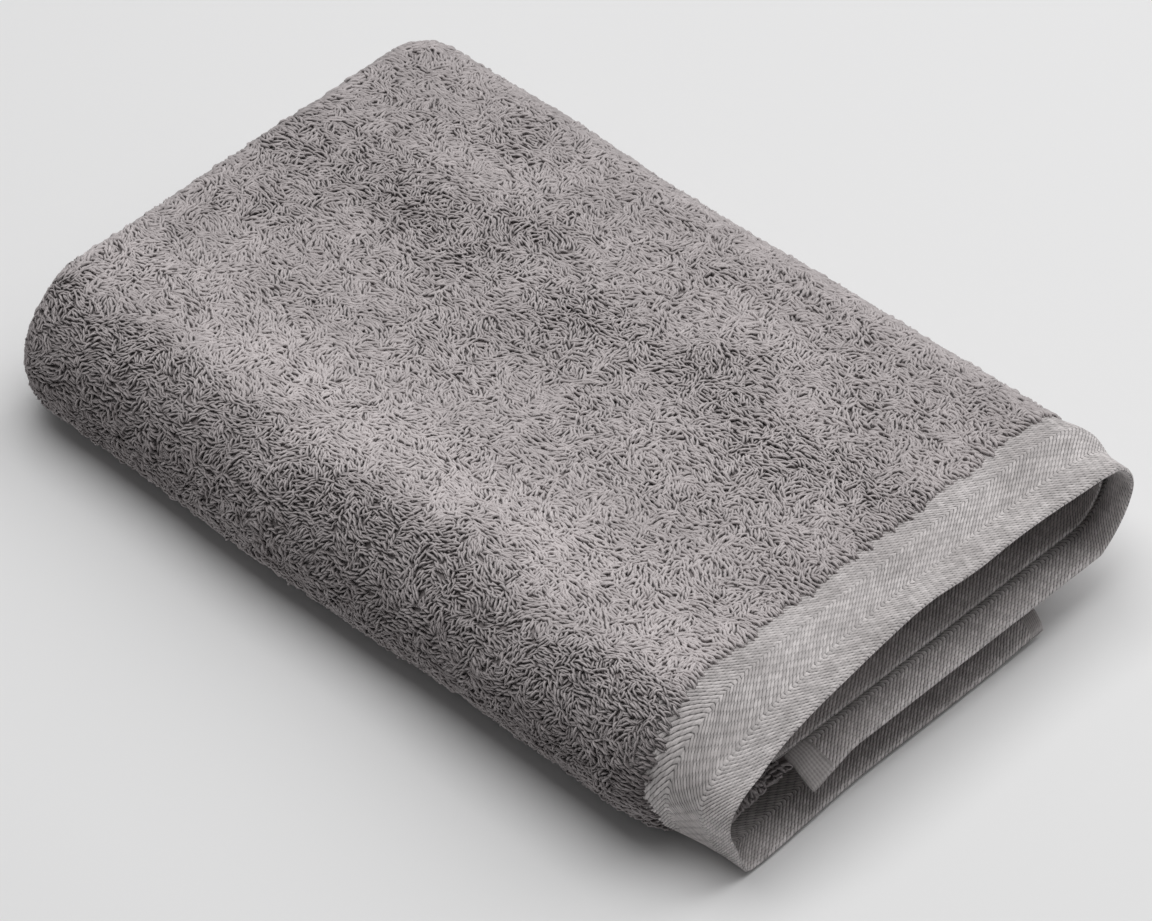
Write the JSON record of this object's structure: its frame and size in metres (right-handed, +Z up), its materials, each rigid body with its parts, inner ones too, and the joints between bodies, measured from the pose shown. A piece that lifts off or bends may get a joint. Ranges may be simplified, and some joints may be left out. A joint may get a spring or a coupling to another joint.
{
  "type": "folded bath towel",
  "caption": "Grey cotton terry bath towel, quartered in length and folded in thirds, with herringbone end borders and a hem edge showing; the folds open like a book.",
  "frame": {"origin": "on the surface that the folded towel lies on, under the middle of its box", "axes": "+Y along the towel's length from the hem end to the closed far end, +X across it to the right-hand fold, +Z up"},
  "size_m": [0.23, 0.354, 0.0645],
  "materials": {
    "terry": "warm mid-grey cotton terry, long curled loops on both faces",
    "border": "flat herringbone band in the same grey cotton, a little paler because it has no pile",
    "hem": "turned and stitched hem of flat woven grey cotton"
  },
  "bodies": {
    "left_flap": {"left_flap_inner_far_fold": "terry", "left_flap_near_fold": "terry", "left_flap_outer_far_fold": "terry", "left_flap_ply1_border": "border", "left_flap_ply1_end_hem": "hem", "left_flap_ply1_side_hem": "hem", "left_flap_ply1_terry": "terry", "left_flap_ply2_border": "border", "left_flap_ply2_end_hem": "hem", "left_flap_ply2_side_hem": "hem", "left_flap_ply2_terry": "terry", "left_flap_ply3_side_hem": "hem", "left_flap_ply3_terry": "terry", "left_flap_ply4_side_hem": "hem", "left_flap_ply4_terry": "terry", "left_fold_ply1_border": "border", "left_fold_ply1_end_hem": "hem", "left_fold_ply1_terry": "terry", "left_fold_ply2_border": "border", "left_fold_ply2_end_hem": "hem", "left_fold_ply2_terry": "terry", "left_fold_ply3_terry": "terry", "left_fold_ply4_terry": "terry"},
    "middle_panel": {"middle_panel_inner_far_fold": "terry", "middle_panel_near_fold": "terry", "middle_panel_outer_far_fold": "terry", "middle_panel_ply1_border": "border", "middle_panel_ply1_end_hem": "hem", "middle_panel_ply1_terry": "terry", "middle_panel_ply2_border": "border", "middle_panel_ply2_end_hem": "hem", "middle_panel_ply2_terry": "terry", "middle_panel_ply3_terry": "terry", "middle_panel_ply4_terry": "terry", "right_fold_ply1_border": "border", "right_fold_ply1_end_hem": "hem", "right_fold_ply1_terry": "terry", "right_fold_ply2_border": "border", "right_fold_ply2_end_hem": "hem", "right_fold_ply2_terry": "terry", "right_fold_ply3_terry": "terry", "right_fold_ply4_terry": "terry"},
    "right_flap": {"right_flap_inner_far_fold": "terry", "right_flap_near_fold": "terry", "right_flap_outer_far_fold": "terry", "right_flap_ply1_border": "border", "right_flap_ply1_end_hem": "hem", "right_flap_ply1_side_hem": "hem", "right_flap_ply1_terry": "terry", "right_flap_ply2_border": "border", "right_flap_ply2_end_hem": "hem", "right_flap_ply2_side_hem": "hem", "right_flap_ply2_terry": "terry", "right_flap_ply3_side_hem": "hem", "right_flap_ply3_terry": "terry", "right_flap_ply4_side_hem": "hem", "right_flap_ply4_terry": "terry"}
  },
  "joints": [
    {"name": "left_fold", "type": "hinge", "parent": "left_flap", "child": "middle_panel", "pos_m": [-0.08275, 0, 0.03225], "axis": [0, -1, 0], "range_deg": [0, 178], "deforming": ["left_fold_ply1_border", "left_fold_ply1_end_hem", "left_fold_ply1_terry", "left_fold_ply2_border", "left_fold_ply2_end_hem", "left_fold_ply2_terry", "left_fold_ply3_terry", "left_fold_ply4_terry"]},
    {"name": "right_fold", "type": "hinge", "parent": "middle_panel", "child": "right_flap", "pos_m": [0.09375, 0, 0.04325], "axis": [0, -1, 0], "range_deg": [0, 49.84], "deforming": ["right_fold_ply1_border", "right_fold_ply1_end_hem", "right_fold_ply1_terry", "right_fold_ply2_border", "right_fold_ply2_end_hem", "right_fold_ply2_terry", "right_fold_ply3_terry", "right_fold_ply4_terry"]}
  ],
  "couplings": [
    {"joint": "right_fold", "follows": "left_fold", "ratio": 0.28}
  ]
}
